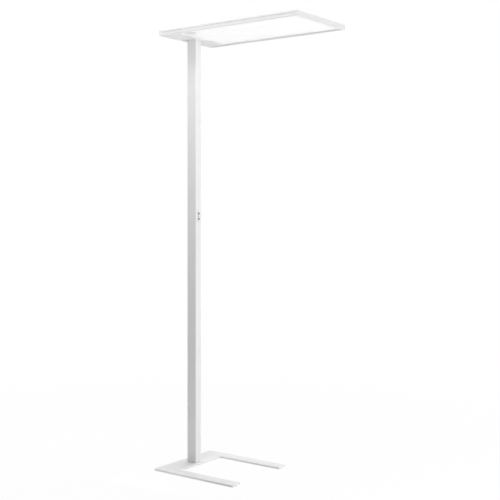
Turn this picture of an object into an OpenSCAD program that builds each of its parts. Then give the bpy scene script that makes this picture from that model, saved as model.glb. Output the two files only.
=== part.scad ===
// Office floor lamp: a flat rectangular head held out over the open side of a
// U-shaped foot by one rectangular post.
// Origin on the floor under the post's axis. +X runs from the post to the head's
// free end, +Y to the lamp's left when it is seen from its free end, +Z up.

/* [Lamp] */
// Height of the head's top above the floor
lamp_h = 1950; // [1700:10:2200]
// Small gap between pieces that are pushed together and do not move
seat_gap = 0.1; // [0.05:0.05:0.2]
// Visible joint around covers and between keys and frame
joint_gap = 0.3; // [0.2:0.05:0.5]

/* [Base] */
// Length of the base from its rear edge to the prong tips
base_l = 436; // [380:1:520]
// Width of the base across the prongs
base_w = 396; // [340:1:460]
// Thickness of the steel base plate
base_t = 8; // [6:0.5:12]
// Distance from the post's axis to the base's rear edge
base_rear = 65; // [60:1:90]
// Depth of the web that joins the prongs
web_l = 103; // [95:1:130]
// Width of each prong
prong_w = 55; // [40:1:70]
// Corner radius of the base's outline
base_r = 4; // [2:0.5:8]
// Radius in the two inner corners of the U
base_inner_r = 5; // [2:0.5:10]
// Diameter of the floor pads
pad_d = 20; // [14:1:22]
// Thickness of the floor pads
pad_t = 2; // [1.5:0.5:4]
// Distance from a floor pad's centre to the base's edges
pad_inset = 20; // [16:1:25]

/* [Post] */
// Size of the post along X
post_x = 50; // [46:1:60]
// Size of the post along Y
post_y = 38; // [36:1:50]
// Wall of the post
post_wall = 2.5; // [2:0.1:3]
// Corner radius of the post's outside
post_r = 2; // [1:0.25:3]
// Thickness of the gasket under the post
gasket_t = 5; // [3:0.5:8]
// How far the gasket is set back from the post's faces
gasket_inset = 1.5; // [1:0.1:1.8]
// Height of the foot block that stands inside the post
foot_block_h = 95; // [85:1:130]
// Length of the block inside the post's top
top_block_h = 84; // [70:1:120]

/* [Screws and leads] */
// Radius of the large screws that hold the foot block and the head's bracket
bolt_r = 3; // [2.5:0.25:4]
// Radius of the screws through the post's wall and the bracket's ends
lock_r = 2; // [1.5:0.25:2.5]
// Radius of the small screws in covers and end caps
small_r = 1.2; // [1:0.1:1.5]
// Diameter of the mains lead inside the post
mains_d = 6; // [5:0.1:7]
// Diameter of the control lead
control_d = 4; // [3:0.1:4.4]
// Diameter of the leads to the light sources
led_lead_d = 2.4; // [2:0.1:3]
// Radius of the cord inlet's bore
gland_r = 3.7; // [3:0.05:4.5]
// Height of the cord inlet above the floor
gland_z = 66; // [60:1:80]

/* [Control] */
// Height of the control's middle above the floor
control_z = 1129; // [900:1:1300]
// Width of the control's frame
frame_w = 25; // [24:0.5:26]
// Thickness of the control's frame
frame_t = 1.2; // [1:0.1:2]
// Width of a key
key_w = 16; // [14:0.5:17]
// Height of a key
key_h = 24; // [18:0.5:26]
// Gap between the two keys
key_split = 1.6; // [1:0.1:3]
// How far the keys stand out of their frame
key_proud = 1; // [1:0.1:1.5]
// Travel of a key when it is pressed
key_travel = 1; // [0.6:0.1:1.2]
// Diameter of the round dark inlay in each key
dot_d = 12; // [8:0.5:13]
// Distance between the middles of the two inlays
dot_pitch = 25; // [20:0.5:26]
// Depth of the control's housing behind the post's face
housing_d = 17; // [16:0.5:18]

/* [Head] */
// Length of the head
head_l = 730; // [650:5:900]
// Width of the head
head_w = 374; // [320:2:420]
// Thickness of the head
head_t = 22; // [22:0.5:28]
// Distance from the post's axis to the head's near end
head_rear = 46; // [44:1:60]
// Width of the lip around the light-emitting window
lip_w = 10; // [8:0.5:14]
// Height of the lip, which sets how deep the diffuser lies
lip_h = 6.5; // [6.5:0.1:7]
// Wall of the side rails
rail_wall = 2; // [1.6:0.1:2.4]
// Height of the shadow groove in the side rails
groove_h = 2.6; // [1:0.1:3]
// Depth of the shadow groove
groove_d = 3.2; // [1:0.1:3.4]
// Width of the chamfer along the head's lower edges
edge_cut = 3.5; // [0.5:0.5:4]
// Length of the end cap on the post's side
cap_post_l = 14; // [12:0.5:16]
// Length of the end cap at the free end
cap_free_l = 6; // [4:0.5:8]
// Distance from the post's axis to the edge of the cover beside the post
bay_edge = 38; // [34:1:48]
// How deep the cover beside the post lies in the frame
bay_recess = 3; // [2.5:0.1:3.5]
// Thickness of the cover and tray sheets
sheet_t = 1.5; // [1:0.1:1.6]
// Length of the sensor's box along the head
sensor_l = 72; // [60:1:100]
// Width of the sensor's box
sensor_w = 50; // [40:1:60]
// Diameter of the sensor's dome
dome_d = 18; // [14:0.5:22]
// How far the dome stands out of the sensor's box
dome_h = 5; // [3:0.5:7]
// Thickness of the steel bracket that holds the head
bracket_t = 3; // [2.5:0.1:3.2]
// Distance from the driver's far end to the head's side
driver_side = 17; // [15:0.5:60]
// Width of the driver
driver_w = 30; // [20:1:32]
// Height of the driver
driver_h = 13.5; // [10:0.1:15]
// Distance from the window in the head's top to the ends of the panel below it
uplight_end = 38.7; // [30:0.1:90]
// Distance from that window to the head's sides
uplight_side = 52; // [40:0.5:80]
// Number of light boards that shine upwards
uplight_n = 3; // [2:1:4]

/* [Hidden] */
$fn = 48;

// Colours
coat_white = [0.93, 0.93, 0.93];
dark_grey = [0.25, 0.25, 0.26];
pale_grey = [0.8, 0.8, 0.8];
bare_alu = [0.75, 0.76, 0.78];
zinc_steel = [0.62, 0.63, 0.65];
plastic_white = [0.9, 0.9, 0.9];
opal_white = [0.98, 0.98, 0.97];
board_green = [0.12, 0.38, 0.22];
board_white = [0.88, 0.9, 0.88];
acrylic_tint = [0.85, 0.9, 0.92];
lead_grey = [0.55, 0.56, 0.57];

// Levels from the floor up
base_top = pad_t + base_t;
post_z0 = base_top + gasket_t;
foot_block_top = base_top + foot_block_h;
head_z = lamp_h - head_t;

// The post's hollow, and the section of the blocks inside it
post_in_x = post_x - 2 * post_wall;
post_in_y = post_y - 2 * post_wall;
block_x = post_in_x - 2 * seat_gap;
block_y = post_in_y - 2 * seat_gap;
wall_in = post_in_x / 2;

// Layers of the head, counted from its underside
rim_t = 1.5;
pane_t = 1.8;
guide_t = 3;
reflector_t = 0.4;
shelf_z = lip_h + pane_t + guide_t + reflector_t + 3 * seat_gap;
shelf_t = 1.6;
shelf_w = 12;
shelf_top = shelf_z + shelf_t;
cover_z = head_t - sheet_t;
ledge_z = cover_z - rim_t;
ledge_w = 6;
groove_z = shelf_z + 1.2;
groove_wall = 1;
bulge_w = groove_d + groove_wall;
bulge_top = groove_z + groove_h + 1.2;
post_z1 = head_z + shelf_top;

// Plan of the head
head_x0 = -head_rear;
head_x1 = head_l - head_rear;
half_w = head_w / 2;
rail_x0 = head_x0 + cap_post_l;
rail_x1 = head_x1 - cap_free_l;
lip_y = half_w - lip_w;
cap_wall = 3;
web_t = 2;
diffuser_ledge = 4;
panel_x0 = bay_edge + web_t + joint_gap;
panel_x1 = rail_x1 - joint_gap;
panel_y = half_w - rail_wall - joint_gap;
strip_t = 1.6;
guide_y = half_w - rail_wall - strip_t - joint_gap;
plate_y = half_w - bulge_w - joint_gap;
sensor_x0 = panel_x0;
sensor_x1 = sensor_x0 + sensor_l;
sensor_y0 = -lip_y + joint_gap;
sensor_y1 = sensor_y0 + sensor_w;
sensor_wall = 1.6;
sensor_wall_top = shelf_z - seat_gap;
sensor_ledge = 3;
dome_x = sensor_x0 + 21;
dome_y = sensor_y0 + sensor_w / 2;
ledge_top = lip_h;
ledge_t = 1.6;
cover_top = head_z + bay_recess + sheet_t;

// Screws
thread_gap = 0.05;
hole_gap = 0.3;
head_ratio = 1.9;

// Leads in the post
mains_x = -wall_in + joint_gap + mains_d / 2;
control_x = -wall_in + joint_gap + control_d / 2;
control_y = -7;
inner_r = 1;
channel_x = -wall_in + mains_d + 3.4;
channel_y0 = -11;
channel_y1 = 6;
bend_r = 8;
lead_gap = 0.15;
lead_slot = 4;
lead_top = post_z1 - 1 - mains_d / 2;
control_top = cover_top + 1 + control_d / 2;

// Driver, which lies on the cover beside the post
driver_x0 = -30;
driver_y0 = 40;
driver_l = half_w - driver_side - driver_y0;

// Control
keys_h = 2 * key_h + key_split;
window_w = key_w + 2 * joint_gap;
window_h = keys_h + 2 * joint_gap;
housing_wall = 1.2;
flange_side = 1.2;
housing_in_w = key_w + 2 * flange_side + 0.8;
housing_w = housing_in_w + 2 * housing_wall;
housing_in_h = window_h + 2;
housing_h = housing_in_h + 2 * housing_wall;
cutout_w = housing_w + 2 * seat_gap;
cutout_h = housing_h + 2 * seat_gap;
frame_overlap = 2.2;
frame_h = cutout_h + 2 * frame_overlap;
face_x = post_x / 2;
housing_x0 = face_x - housing_d;
board_rail = 2.3;
board_x = housing_x0 + housing_wall + board_rail;
board_t = 1.6;
switch_d = 3.5;
switch_w = 6;
plunger_r = 1.7;
running_gap = 0.08;
plunger_out = 1.7;
plunger_in = 1.7;
flange_t = 1.8;
flange_x = face_x - joint_gap - flange_t;
stem_r = 2;
key_pitch = (key_h + key_split) / 2;
key_front = face_x + frame_t + key_proud;
dot_t = 0.6;

// A plate with round corners, its middle on the Z axis, standing on z = 0
module rounded_plate(x, y, h, r) {
    linear_extrude(h) rounded_area(x, y, r);
}

module rounded_area(x, y, r) {
    square([x - 2 * r, y], center = true);
    square([x, y - 2 * r], center = true);
    for (sx = [-1, 1], sy = [-1, 1]) translate([sx * (x / 2 - r), sy * (y / 2 - r)]) circle(r);
}

// The same plate standing upright, its thickness along +X
module upright_plate(y, z, t, r) {
    rotate([90, 0, 90]) linear_extrude(t) rounded_area(y, z, r);
}

// A box from its lowest and its highest corner
module block(low, high) {
    translate(low) cube(high - low);
}

// A countersunk screw: flat head up at z = 0, shank down
module flat_screw(r, length) {
    head_h = r * (head_ratio - 1);
    rotate_extrude() polygon([[0, 0], [r * head_ratio, 0], [r, -head_h], [r, -length], [0, -length]]);
}

// The hole for it in a sheet of thickness t
module flat_screw_hole(r, t) {
    head_h = r * (head_ratio - 1);
    rotate_extrude() polygon([
        [0, 1], [r * head_ratio + seat_gap, 1], [r * head_ratio + seat_gap, 0],
        [r + seat_gap, -head_h], [r + seat_gap, -t - 1], [0, -t - 1]
    ]);
}

// The threaded bore for a screw with this shank, 1 mm longer than the screw
module screw_bore(r, length) {
    translate([0, 0, -length - 1]) cylinder(h = length + 1, r = r + thread_gap);
}

// A screw with a round raised head that sits on z = 0, shank down
module raised_screw(r, length, head_h) {
    rotate_extrude() polygon([
        [0, head_h], [r * 1.2, head_h], [r * 1.75, head_h * 0.5], [r * 1.75, 0],
        [r, 0], [r, -length], [0, -length]
    ]);
}

// A round lead along straight runs, with an arc of radius bend in each corner.
// sideways is any direction that no run points in; it sets where the rings start.
lead_sides = 12;
arc_steps = 5;
function unit(v) = v / norm(v);
function corner_arc(p, q, s, bend) =
    let (a = unit(q - p), b = unit(s - q), turn = acos(a * b), across = unit(b - a * (a * b)),
        start = q - a * bend * tan(turn / 2), centre = start + across * bend)
    [for (i = [0:arc_steps]) let (t = turn * i / arc_steps) centre + bend * (a * sin(t) - across * cos(t))];
function lead_line(points, bend) = let (last = len(points) - 1) [
    points[0],
    for (i = [1:last - 1]) each corner_arc(points[i - 1], points[i], points[i + 1], bend),
    points[last]
];
module lead(points, d, bend, sideways) {
    line = lead_line(points, bend);
    last = len(line) - 1;
    n = lead_sides;
    rings = [for (i = [0:last]) let (
            way = unit(line[min(i + 1, last)] - line[max(i - 1, 0)]),
            u = unit(cross(way, sideways)), v = cross(way, u))
        for (k = [0:n - 1]) line[i] + d / 2 * (u * cos(360 * k / n) + v * sin(360 * k / n))];
    sides = [for (i = [0:last - 1], k = [0:n - 1]) let (a = i * n + k, b = i * n + (k + 1) % n)
        each [[a, b, a + n], [b, b + n, a + n]]];
    polyhedron(rings, concat([[for (k = [n - 1:-1:0]) k]], sides, [[for (k = [0:n - 1]) last * n + k]]));
}

// The outline of the base: a web and two prongs, with a fillet in each inner corner
module base_outline() {
    web_x = web_l - base_rear;
    inner_y = base_w / 2 - prong_w;
    corner = base_r + base_inner_r;
    translate([web_l / 2 - base_rear, 0]) rounded_area(web_l, base_w, base_r);
    for (side = [-1, 1]) {
        translate([base_l / 2 - base_rear, side * (base_w - prong_w) / 2])
            rounded_area(base_l, prong_w, base_r);
        scale([1, side]) difference() {
            translate([web_x - base_r, inner_y - base_inner_r]) square(corner);
            translate([web_x + base_inner_r, inner_y - base_inner_r]) circle(base_inner_r);
        }
    }
}

// Places of the four screws between base plate and foot block
foot_screw_x = 14;
foot_screw_y = 10;
foot_screw_l = base_t + 12;
module foot_screw_places() {
    for (sx = [-1, 1], sy = [-1, 1])
        translate([sx * foot_screw_x, sy * foot_screw_y, pad_t]) mirror([0, 0, 1]) children();
}

module base_plate() {
    color(coat_white) difference() {
        translate([0, 0, pad_t]) linear_extrude(base_t) base_outline();
        foot_screw_places() flat_screw_hole(bolt_r, base_t);
    }
}

module base_pads() {
    rear_x = pad_inset - base_rear;
    tip_x = base_l - base_rear - pad_inset;
    side_y = base_w / 2 - pad_inset;
    color(dark_grey) {
        cylinder(h = pad_t, d = pad_d);
        for (x = [rear_x, tip_x], side = [-1, 1])
            translate([x, side * side_y, 0]) cylinder(h = pad_t, d = pad_d);
    }
}

module foot_screws() {
    color(zinc_steel) foot_screw_places() flat_screw(bolt_r, foot_screw_l);
}

// Cross screws through the post's rear wall into the blocks at both of its ends
foot_lock_z = base_top + 25;
top_lock_z = post_z1 - 50;
lock_y = 11;
lock_l = 10;
module post_screw_places() {
    for (z = [foot_lock_z, top_lock_z], side = [-1, 1])
        translate([-post_x / 2, side * lock_y, z]) rotate([0, -90, 0]) children();
}

module foot_block() {
    channel_z = gland_z - 12;
    color(bare_alu) difference() {
        translate([0, 0, base_top]) rounded_plate(block_x, block_y, foot_block_h, inner_r);
        block([-wall_in - 1, channel_y0, channel_z], [channel_x, -channel_y0, foot_block_top + 1]);
        foot_screw_places() screw_bore(bolt_r, foot_screw_l);
        post_screw_places() screw_bore(lock_r, lock_l);
    }
}

module foot_gasket() {
    color(pale_grey) translate([0, 0, base_top]) difference() {
        rounded_plate(post_x - 2 * gasket_inset, post_y - 2 * gasket_inset, gasket_t, post_r);
        translate([0, 0, -1]) rounded_plate(post_in_x, post_in_y, gasket_t + 2, inner_r);
    }
}

module post_tube() {
    tube_l = post_z1 - post_z0;
    notch_z = cover_top + 0.5;
    color(coat_white) difference() {
        translate([0, 0, post_z0]) rounded_plate(post_x, post_y, tube_l, post_r);
        translate([0, 0, post_z0 - 1]) rounded_plate(post_in_x, post_in_y, tube_l + 2, inner_r);
        // window for the control
        block([0, -cutout_w / 2, control_z - cutout_h / 2],
            [post_x, cutout_w / 2, control_z + cutout_h / 2]);
        // hole for the cord inlet
        translate([-post_x, 0, gland_z]) rotate([0, 90, 0]) cylinder(h = post_x, r = gland_neck_r + seat_gap);
        post_screw_places() translate([0, 0, -post_wall - 1])
            cylinder(h = post_wall + 2, r = lock_r + seat_gap);
        // notches at the top through which the leads leave sideways
        block([-wall_in, -post_y, notch_z], [channel_x, post_y, post_z1 + 1]);
    }
}

module post_screws() {
    head_h = 1.4;
    color(zinc_steel) post_screw_places() raised_screw(lock_r, lock_l, head_h);
}

// The cord inlet: a flange outside the post's wall, a neck in it and a collar inside
gland_neck_r = gland_r + 1.8;
gland_collar_r = gland_r + 2.7;
gland_flange_r = gland_r + 4;
gland_flange_t = 2;
gland_in = 5;
module cord_gland() {
    color(dark_grey) translate([-post_x / 2, 0, gland_z]) rotate([0, 90, 0]) difference() {
        union() {
            translate([0, 0, -gland_flange_t]) cylinder(h = gland_flange_t, r = gland_flange_r);
            cylinder(h = post_wall, r = gland_neck_r);
            translate([0, 0, post_wall]) cylinder(h = gland_in - post_wall, r = gland_collar_r);
        }
        translate([0, 0, -gland_flange_t - 1])
            cylinder(h = gland_flange_t + gland_in + 2, r = gland_r);
    }
}

terminal_size = [18, 24, 15];
terminal_x = 6;
module terminal_block() {
    poles = 3;
    pitch = terminal_size[1] / poles;
    hole_x = terminal_x + 5;
    hole_r = 2.2;
    hole_floor = 4;
    color(plastic_white) difference() {
        translate([terminal_x - terminal_size[0] / 2, -terminal_size[1] / 2, foot_block_top])
            cube(terminal_size);
        for (i = [0:poles - 1]) translate([hole_x, (i - 1) * pitch, foot_block_top + hole_floor])
            cylinder(h = terminal_size[2], r = hole_r);
    }
}

module mains_lead() {
    top = foot_block_top + terminal_size[2];
    start_x = terminal_x - 4;
    color(lead_grey) lead([
        [start_x, 0, top], [start_x, 0, top + 16], [mains_x, 0, top + 46],
        [mains_x, 0, lead_top], [mains_x, driver_y0 - joint_gap, lead_top]
    ], mains_d, bend_r, [1, 0, 0.1]);
}

clip_z = [260, 640, 1240, 1640];
clip_h = 12;
clip_wall = 1.2;
module lead_clips() {
    y0 = control_y - control_d / 2 - clip_wall;
    y1 = mains_d / 2 + clip_wall;
    x1 = mains_x + mains_d / 2 + clip_wall;
    color(plastic_white) for (z = clip_z) difference() {
        block([-wall_in, y0, z], [x1, y1, z + clip_h]);
        translate([mains_x, 0, z - 1]) cylinder(h = clip_h + 2, d = mains_d + 2 * lead_gap);
        translate([control_x, control_y, z - 1]) cylinder(h = clip_h + 2, d = control_d + 2 * lead_gap);
    }
}

module control_frame() {
    corner_r = 2.5;
    window_r = 1.3;
    color(coat_white) translate([face_x, 0, control_z]) difference() {
        upright_plate(frame_w, frame_h, frame_t, corner_r);
        translate([-1, 0, 0]) upright_plate(window_w, window_h, frame_t + 2, window_r);
    }
}

hook_out = 1.4;
hook_w = 8;
hook_l = 2;
lead_exit_y = -5;
lead_exit_z = 10;
module control_housing() {
    hook_x = face_x - post_wall - seat_gap - hook_l;
    floor_x = housing_x0 + housing_wall;
    in_y = housing_in_w / 2;
    in_z = housing_in_h / 2;
    rail_y = in_y - 1;
    color(dark_grey) translate([0, 0, control_z]) {
        difference() {
            union() {
                block([housing_x0, -housing_w / 2, -housing_h / 2], [face_x, housing_w / 2, housing_h / 2]);
                for (side = [-1, 1]) translate([hook_x, -hook_w / 2, side * housing_h / 2 - hook_out])
                    cube([hook_l, hook_w, 2 * hook_out]);
            }
            block([floor_x, -in_y, -in_z], [face_x + 1, in_y, in_z]);
            translate([housing_x0 - 1, lead_exit_y, lead_exit_z]) rotate([0, 90, 0])
                cylinder(h = housing_wall + 2, d = control_d + 2 * lead_gap);
        }
        // rails that carry the board
        for (side = [-1, 1])
            block([floor_x, side * rail_y - 1, -in_z], [board_x, side * rail_y + 1, in_z]);
    }
}

module control_board() {
    board_w = housing_in_w - 2 * joint_gap;
    board_h = housing_in_h - 2 * joint_gap;
    color(board_green) translate([board_x, -board_w / 2, control_z - board_h / 2])
        cube([board_t, board_w, board_h]);
}

switch_x = board_x + board_t;
switch_front = switch_x + switch_d;
module switch_body(side) {
    bore_x = switch_d - plunger_in - key_travel - joint_gap;
    color(dark_grey) translate([switch_x, 0, control_z + side * key_pitch]) difference() {
        translate([0, -switch_w / 2, -switch_w / 2]) cube([switch_d, switch_w, switch_w]);
        translate([bore_x, 0, 0]) rotate([0, 90, 0]) cylinder(h = switch_d, r = plunger_r + running_gap);
    }
}

module switch_upper() {
    switch_body(1);
}

module switch_lower() {
    switch_body(-1);
}

module plunger(side) {
    color(lead_grey) translate([switch_front - plunger_in, 0, control_z + side * key_pitch])
        rotate([0, 90, 0]) cylinder(h = plunger_in + plunger_out, r = plunger_r);
}

module plunger_upper() {
    plunger(1);
}

module plunger_lower() {
    plunger(-1);
}

// A key: the cap that shows, side flanges that stop it behind the frame, and a stem
module key(side) {
    stem_x = switch_front + plunger_out;
    stem_l = flange_x + flange_t / 2 - stem_x;
    corner_r = 1;
    flange_w = key_w + 2 * flange_side;
    flange_h = key_h - 4;
    flange_r = 0.5;
    color(plastic_white) translate([0, 0, control_z + side * key_pitch]) difference() {
        union() {
            translate([flange_x, 0, 0]) upright_plate(key_w, key_h, key_front - flange_x, corner_r);
            translate([flange_x, 0, 0]) upright_plate(flange_w, flange_h, flange_t, flange_r);
            translate([stem_x, 0, 0]) rotate([0, 90, 0]) cylinder(h = stem_l, r = stem_r);
        }
        translate([key_front - dot_t, 0, side * (dot_pitch / 2 - key_pitch)]) rotate([0, 90, 0])
            cylinder(h = dot_t + 1, d = dot_d);
    }
}

module key_upper() {
    key(1);
}

module key_lower() {
    key(-1);
}

module key_dot(side) {
    color(dark_grey) translate([key_front - dot_t, 0, control_z + side * dot_pitch / 2])
        rotate([0, 90, 0]) cylinder(h = dot_t - seat_gap, d = dot_d - 2 * thread_gap);
}

module key_dot_upper() {
    key_dot(1);
}

module key_dot_lower() {
    key_dot(-1);
}

// The control lead leaves the housing, joins the rear wall, rises beside the mains lead
// and runs across the head to the sensor's box
control_far_y = -post_y / 2 - 30;
module control_lead() {
    exit_z = control_z + lead_exit_z;
    color(lead_grey) lead([
        [board_x - joint_gap, lead_exit_y, exit_z], [0, lead_exit_y, exit_z],
        [control_x, control_y, exit_z + 40],
        [control_x, control_y, control_top], [control_x, control_far_y, control_top],
        [bay_edge - 30, dome_y, control_top], [sensor_x0 + 5, dome_y, control_top]
    ], control_d, bend_r, [0.5, 0.4, 0.1]);
}

// Bolts between the head's bracket and the block in the post's top
bracket_bolt_x = [-6, 16];
bracket_bolt_y = 10;
bracket_bolt_l = 20;
module bracket_bolt_places() {
    for (x = bracket_bolt_x, side = [-1, 1])
        translate([x, side * bracket_bolt_y, post_z1 + bracket_t]) children();
}

module top_block() {
    color(bare_alu) difference() {
        translate([0, 0, post_z1 - top_block_h]) rounded_plate(block_x, block_y, top_block_h, inner_r);
        // channel for the leads, and the room in which they turn sideways
        block([-wall_in - 1, channel_y0, post_z1 - top_block_h - 1],
            [channel_x, channel_y1, post_z1 + 1]);
        block([-wall_in - 1, -post_y, head_z - bend_r - 6], [channel_x, post_y, post_z1 + 1]);
        bracket_bolt_places() screw_bore(bolt_r, bracket_bolt_l);
        post_screw_places() screw_bore(lock_r, lock_l);
    }
}

bracket_x0 = rail_x0 + 1;
bracket_x1 = bay_edge - 1;
bracket_screw_x = [bracket_x0 + 8, bracket_x1 - 8];
bracket_screw_y = half_w - rail_wall - shelf_w + 5;
bracket_screw_l = bracket_t + shelf_t + 1.5;
module bracket_screw_places() {
    for (x = bracket_screw_x, side = [-1, 1])
        translate([x, side * bracket_screw_y, post_z1 + bracket_t]) children();
}

module head_bracket() {
    driver_gap = 1;
    notch_x = driver_x0 + driver_w + driver_gap;
    notch_y0 = driver_y0 - driver_gap;
    notch_y1 = driver_y0 + driver_l + driver_gap;
    hole_l = bracket_t + 2;
    color(zinc_steel) difference() {
        block([bracket_x0, -plate_y, post_z1], [bracket_x1, plate_y, post_z1 + bracket_t]);
        // notch for the driver, which is taller than the bracket's level
        block([bracket_x0 - 1, notch_y0, post_z1 - 1], [notch_x, notch_y1, post_z1 + bracket_t + 1]);
        bracket_bolt_places() translate([0, 0, 1 - hole_l]) cylinder(h = hole_l, r = bolt_r + hole_gap);
        bracket_screw_places() translate([0, 0, 1 - hole_l]) cylinder(h = hole_l, r = lock_r + hole_gap);
        spacer_places() translate([0, 0, -1]) cylinder(h = hole_l, r = small_r + hole_gap);
    }
}

module bracket_bolts() {
    head_h = 2.4;
    color(zinc_steel) bracket_bolt_places() raised_screw(bolt_r, bracket_bolt_l, head_h);
}

module bracket_screws() {
    head_h = 1.8;
    color(zinc_steel) bracket_screw_places() raised_screw(lock_r, bracket_screw_l, head_h);
}

// The section of a side rail, as (distance inwards from its outer face, height).
// From below: the lip on which the panel lies, the shelf for the tray and the bracket,
// the shadow groove in the outer face, the ledge for the top cover, and the chamfer.
module rail_section() {
    wall = rail_wall;
    polygon([
        [0, edge_cut], [edge_cut, 0], [lip_w, 0], [lip_w, lip_h], [wall, lip_h],
        [wall, shelf_z], [wall + shelf_w, shelf_z], [wall + shelf_w, shelf_top], [bulge_w, shelf_top],
        [bulge_w, bulge_top], [wall, bulge_top], [wall, ledge_z], [wall + ledge_w, ledge_z],
        [wall + ledge_w, cover_z], [wall, cover_z], [wall, head_t], [0, head_t],
        [0, groove_z + groove_h], [groove_d, groove_z + groove_h], [groove_d, groove_z], [0, groove_z]
    ]);
}

// Screws that hold the end caps, driven into the ends of the rails' lips
cap_screw_w = 5;
cap_screw_l = 26;
module cap_screw_places() {
    for (side = [-1, 1]) {
        translate([head_x0, side * (half_w - cap_screw_w), head_z + lip_h / 2]) rotate([0, -90, 0]) children();
        translate([head_x1, side * (half_w - cap_screw_w), head_z + lip_h / 2]) rotate([0, 90, 0]) children();
    }
}

// Screws that hold the top cover to the rails' ledges
cover_screw_n = 4;
cover_screw_w = rail_wall + ledge_w / 2 + 0.6;
cover_screw_l = 3.8;
module cover_screw_places() {
    from_end = 30;
    pitch = (rail_x1 - rail_x0 - 2 * from_end) / (cover_screw_n - 1);
    for (i = [0:cover_screw_n - 1], side = [-1, 1])
        translate([rail_x0 + from_end + i * pitch, side * (half_w - cover_screw_w), lamp_h]) children();
}

// The rail on the side of -Y; the other one is its mirror image
module side_rail() {
    difference() {
        translate([rail_x0, -half_w, head_z]) rotate([90, 0, 90])
            linear_extrude(rail_x1 - rail_x0) rail_section();
        cap_screw_places() screw_bore(small_r, cap_screw_l);
        bracket_screw_places() screw_bore(lock_r, bracket_screw_l);
        cover_screw_places() screw_bore(small_r, cover_screw_l);
    }
}

module side_rail_near() {
    color(coat_white) side_rail();
}

module side_rail_far() {
    color(coat_white) mirror([0, 1, 0]) side_rail();
}

// What the chamfers take off between x0 and x1
module lower_edge_cuts(x0, x1) {
    for (side = [-1, 1]) translate([x0, side * half_w, head_z]) rotate([90, 0, 90]) linear_extrude(x1 - x0)
        polygon([[-side * (edge_cut + 1), -1], [side, -1], [side, edge_cut + 1]]);
}

module end_cap_post() {
    color(coat_white) difference() {
        translate([0, 0, head_z]) {
            block([head_x0, -half_w, 0], [head_x0 + cap_wall, half_w, head_t]);
            block([head_x0, -half_w, 0], [rail_x0, half_w, bay_recess]);
            block([head_x0, -half_w, ledge_z], [head_x0 + cap_wall + ledge_w, half_w, cover_z]);
            // the cheeks, and the bosses for the end screws
            for (y = [-half_w, half_w - cap_wall])
                translate([head_x0, y, 0]) cube([cap_post_l, cap_wall, head_t]);
            for (y = [-half_w, lip_y])
                translate([head_x0, y, 0]) cube([cap_post_l, lip_w, lip_h]);
        }
        block([head_x0 + cap_wall, -half_w + rail_wall, head_z + cover_z],
            [rail_x0 + 1, half_w - rail_wall, lamp_h + 1]);
        lower_edge_cuts(head_x0 - 1, rail_x0 + 1);
        cap_screw_places() flat_screw_hole(small_r, cap_post_l);
    }
}

module end_cap_free() {
    lip_end = lip_y - seat_gap;
    ledge_end = half_w - rail_wall - ledge_w - seat_gap;
    color(coat_white) difference() {
        translate([0, 0, head_z]) {
            block([rail_x1, -half_w, 0], [head_x1, half_w, head_t]);
            block([head_x1 - lip_w, -lip_end, 0], [rail_x1 + seat_gap, lip_end, lip_h]);
            block([rail_x1 - ledge_w, -ledge_end, ledge_z], [rail_x1 + seat_gap, ledge_end, cover_z]);
        }
        lower_edge_cuts(rail_x1 - 1, head_x1 + 1);
        cap_screw_places() flat_screw_hole(small_r, cap_post_l);
    }
}

module end_cap_screws() {
    color(coat_white) cap_screw_places() flat_screw(small_r, cap_screw_l);
}

// The bar between the rails beside the bay: a web, and a ledge that carries the panel
module cross_bar() {
    web_x1 = bay_edge + web_t;
    low_y = lip_y - seat_gap;
    web_y = half_w - rail_wall - shelf_w - joint_gap;
    ledge_y0 = sensor_y1 + sensor_ledge + joint_gap;
    color(coat_white) difference() {
        translate([0, 0, head_z]) {
            block([bay_edge, -low_y, bay_recess], [web_x1, low_y, shelf_z - seat_gap]);
            block([bay_edge, -web_y, bay_recess], [web_x1, web_y, cover_z - seat_gap]);
            block([bay_edge, ledge_y0, ledge_top - ledge_t], [web_x1 + diffuser_ledge, low_y, ledge_top]);
        }
        // slots for the leads
        block([bay_edge - 1, dome_y - lead_slot, control_top - lead_slot],
            [web_x1 + 1, dome_y + lead_slot, control_top + lead_slot]);
        block([bay_edge - 1, led_lead_y - lead_slot, led_bay_z - led_lead_d],
            [web_x1 + 1, led_lead_y + led_pitch + lead_slot, lamp_h]);
    }
}

// Spacers between the bracket and the bay's cover, with their screws from below
spacer_x = 22;
spacer_y = [-120, -50, 50, 120];
spacer_r = 3.5;
module spacer_places() {
    for (y = spacer_y) translate([spacer_x, y, post_z1]) children();
}

module bay_cover() {
    cover_x0 = head_x0 + cap_wall + joint_gap;
    cover_y = lip_y - joint_gap;
    hole_x = post_x + 2 * joint_gap;
    hole_y = post_y + 2 * joint_gap;
    color(coat_white) difference() {
        block([cover_x0, -cover_y, cover_top - sheet_t], [bay_edge - joint_gap, cover_y, cover_top]);
        translate([0, 0, head_z]) rounded_plate(hole_x, hole_y, head_t, post_r + joint_gap);
        for (y = spacer_y) translate([spacer_x, y, cover_top - sheet_t]) mirror([0, 0, 1])
            flat_screw_hole(small_r, sheet_t);
    }
}

module cover_spacers() {
    color(zinc_steel) for (y = spacer_y) translate([spacer_x, y, cover_top]) difference() {
        cylinder(h = post_z1 - cover_top, r = spacer_r);
        translate([0, 0, -1]) cylinder(h = post_z1 - cover_top + 2, r = small_r + thread_gap);
    }
}

module bay_cover_screws() {
    screw_l = 8;
    color(coat_white) for (y = spacer_y) translate([spacer_x, y, cover_top - sheet_t]) mirror([0, 0, 1])
        flat_screw(small_r, screw_l);
}

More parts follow.
